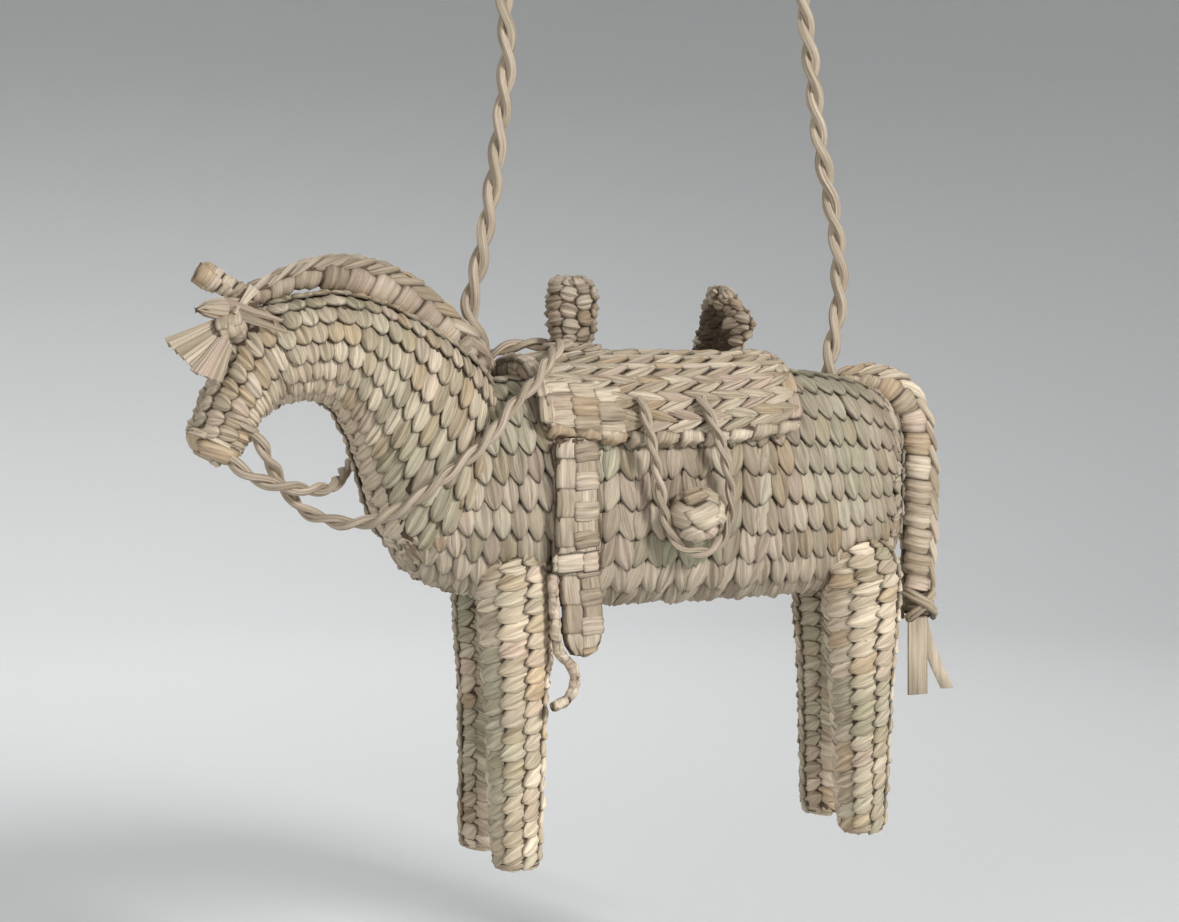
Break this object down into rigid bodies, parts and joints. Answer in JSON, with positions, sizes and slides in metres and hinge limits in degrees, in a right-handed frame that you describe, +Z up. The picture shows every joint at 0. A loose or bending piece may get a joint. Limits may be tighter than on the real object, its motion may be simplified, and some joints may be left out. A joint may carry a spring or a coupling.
{
  "type": "woven horse bag",
  "caption": "Woven palm-leaf bag in the form of a saddled horse, with a hinged saddle lid closed by a loop over a ball, swinging stirrups, reins and a carrying strap.",
  "frame": {"origin": "on the floor under the middle of the horse's box, without its cords", "axes": "+Z up, the horse faces -X, its near (left) side with the lid's loop and ball is -Y"},
  "size_m": [0.3725, 0.0954, 0.4558],
  "materials": {
    "straw": "matte woven palm leaf, tan",
    "pale_straw": "matte woven palm leaf, pale beige",
    "green_straw": "matte woven palm leaf, grey-green tint",
    "dark_straw": "matte palm cord, brown"
  },
  "bodies": {
    "horse": {"body_basket": "green_straw", "neck": "straw", "head": "straw", "muzzle_plug": "pale_straw", "noseband": "straw", "mane": "pale_straw", "ear_far": "straw", "ear_near": "straw", "forelock_tie": "straw", "forelock": "pale_straw", "leg_front_near": "straw", "leg_front_far": "straw", "leg_rear_near": "straw", "leg_rear_far": "straw", "tail": "straw", "tail_tie": "pale_straw", "tail_strip_wide": "pale_straw", "tail_strip_side": "pale_straw", "tail_strip_short": "pale_straw", "saddle_skirt": "pale_straw", "hinge_cord": "dark_straw", "closure_ball": "pale_straw", "ball_tie": "dark_straw", "rein_near": "pale_straw", "rein_far": "pale_straw", "strap": "pale_straw", "strap_knot_front": "dark_straw", "strap_knot_rear": "dark_straw"},
    "lid": {"saddle_lid": "pale_straw", "saddle_horn": "straw", "saddle_cantle": "straw", "rein_knot": "straw", "closure_loop": "straw", "rein_near_end": "pale_straw", "rein_far_end": "pale_straw"},
    "near_stirrup": {"fender_near": "pale_straw", "fender_band_near": "straw", "stirrup_near": "straw"},
    "far_stirrup": {"fender_far": "pale_straw", "fender_band_far": "straw", "stirrup_far": "straw"}
  },
  "joints": [
    {"name": "lid_hinge", "type": "hinge", "parent": "horse", "child": "lid", "pos_m": [0, 0.0296, 0.20863], "axis": [-1, 0, 0], "range_deg": [0, 100]},
    {"name": "near_stirrup_swing", "type": "hinge", "parent": "lid", "child": "near_stirrup", "pos_m": [-0.02715, -0.0322, 0.1768], "axis": [-1, 0, 0], "range_deg": [0, 60]},
    {"name": "far_stirrup_swing", "type": "hinge", "parent": "horse", "child": "far_stirrup", "pos_m": [-0.02715, 0.0434, 0.1768], "axis": [1, 0, 0], "range_deg": [0, 60]}
  ]
}
